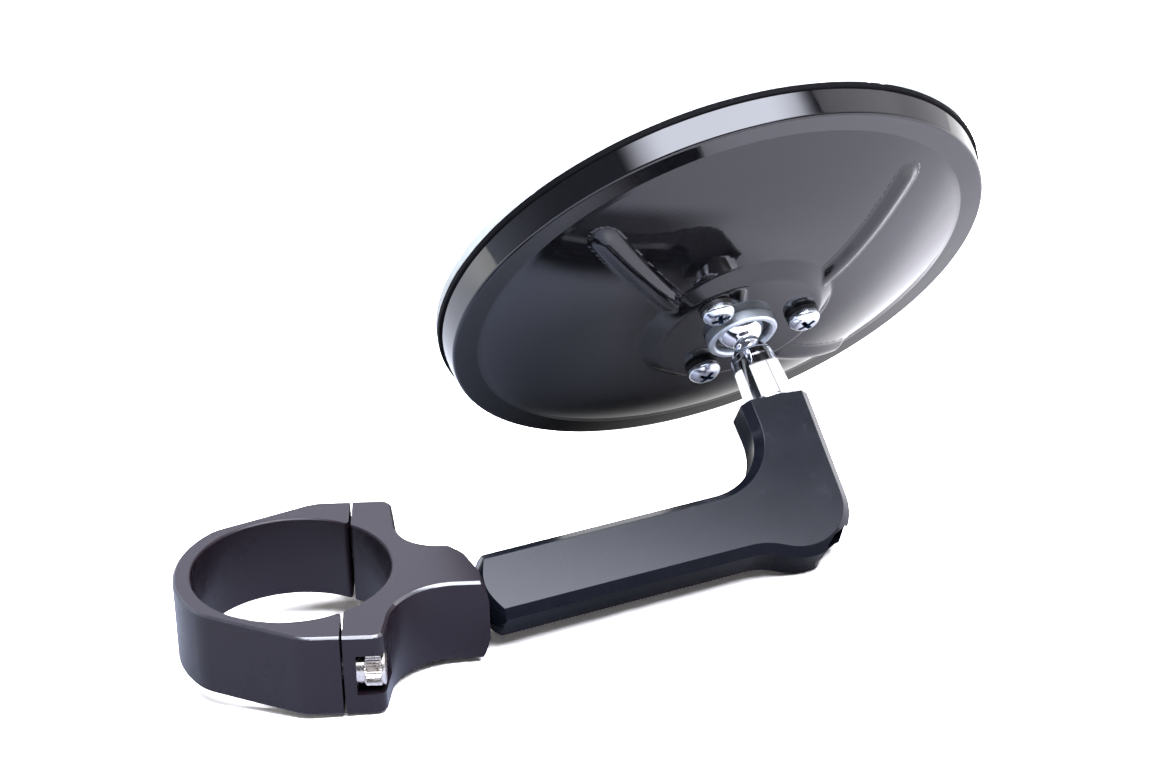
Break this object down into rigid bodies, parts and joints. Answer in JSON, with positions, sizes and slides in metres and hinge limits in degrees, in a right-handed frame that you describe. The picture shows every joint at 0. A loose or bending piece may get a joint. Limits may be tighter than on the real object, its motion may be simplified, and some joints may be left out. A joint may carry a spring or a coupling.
{
  "type": "clamp-on mirror",
  "caption": "Round mirror with a pressed back shell on a ball joint, carried by a bent arm that swivels on a split tube clamp.",
  "frame": {"origin": "on the axis of the tube that the clamp holds, in the plane of the clamp's lower face", "axes": "+Z along the clamped tube, towards the mirror's upper side; +X along the clamp's neck towards the arm; +Y completes the frame"},
  "size_m": [0.1685, 0.1469, 0.1051],
  "materials": {
    "clamp_black": "black anodised, satin, machined",
    "arm_black": "black anodised, satin, brushed",
    "shell_black": "gloss black paint",
    "bright_chrome": "polished plating",
    "zinc_steel": "bright zinc plating",
    "nickel_steel": "nickel plating, satin",
    "dark_steel": "black oxide",
    "bearing_plastic": "moulded",
    "gasket_rubber": "matte",
    "foam": "closed-cell",
    "mirror_silver": "reflecting",
    "clear_glass": "polished, ground edge"
  },
  "bodies": {
    "mount": {"clamp_body": "clamp_black", "clamp_screw_near": "nickel_steel", "clamp_screw_far": "nickel_steel", "clamp_washer_near": "nickel_steel", "clamp_washer_far": "nickel_steel", "swivel_bolt": "dark_steel", "swivel_disc_spring": "dark_steel", "swivel_washer": "bearing_plastic"},
    "strap": {"clamp_strap": "clamp_black"},
    "arm": {"arm": "arm_black", "swivel_insert": "dark_steel", "ball_stud": "bright_chrome", "stud_screw": "dark_steel", "stud_washer": "zinc_steel"},
    "seat": {"ball_seat": "bearing_plastic"},
    "socket": {"socket_collar": "zinc_steel", "pressure_cup": "bearing_plastic", "socket_spring": "dark_steel"},
    "head": {"back_shell": "shell_black", "socket_cap": "zinc_steel", "shell_screw_1": "zinc_steel", "shell_screw_2": "zinc_steel", "shell_screw_3": "zinc_steel", "shell_washer_1": "dark_steel", "shell_washer_2": "dark_steel", "shell_washer_3": "dark_steel", "rim_gasket": "gasket_rubber", "foam_pad": "foam", "silver_layer": "mirror_silver", "mirror_glass": "clear_glass"}
  },
  "joints": [
    {"name": "strap_opening", "type": "slide", "parent": "mount", "child": "strap", "axis": [-1, 0, 0], "range_m": [0, 0.0025]},
    {"name": "arm_swivel", "type": "hinge", "parent": "mount", "child": "arm", "pos_m": [0.0345, 0, 0.00865], "axis": [0.9178, 0.3971, 0], "continuous": true},
    {"name": "head_tilt", "type": "hinge", "parent": "arm", "child": "seat", "pos_m": [0.09125, 0.06787, 0.03407], "axis": [0.9371, 0.3491, 0], "range_deg": [-18, 18]},
    {"name": "head_swing", "type": "hinge", "parent": "seat", "child": "socket", "pos_m": [0.09125, 0.06787, 0.03407], "axis": [0.193, -0.5181, 0.8333], "range_deg": [-18, 18]},
    {"name": "head_spin", "type": "hinge", "parent": "socket", "child": "head", "pos_m": [0.09125, 0.06787, 0.03407], "axis": [0.2909, -0.7808, -0.5529], "continuous": true}
  ]
}
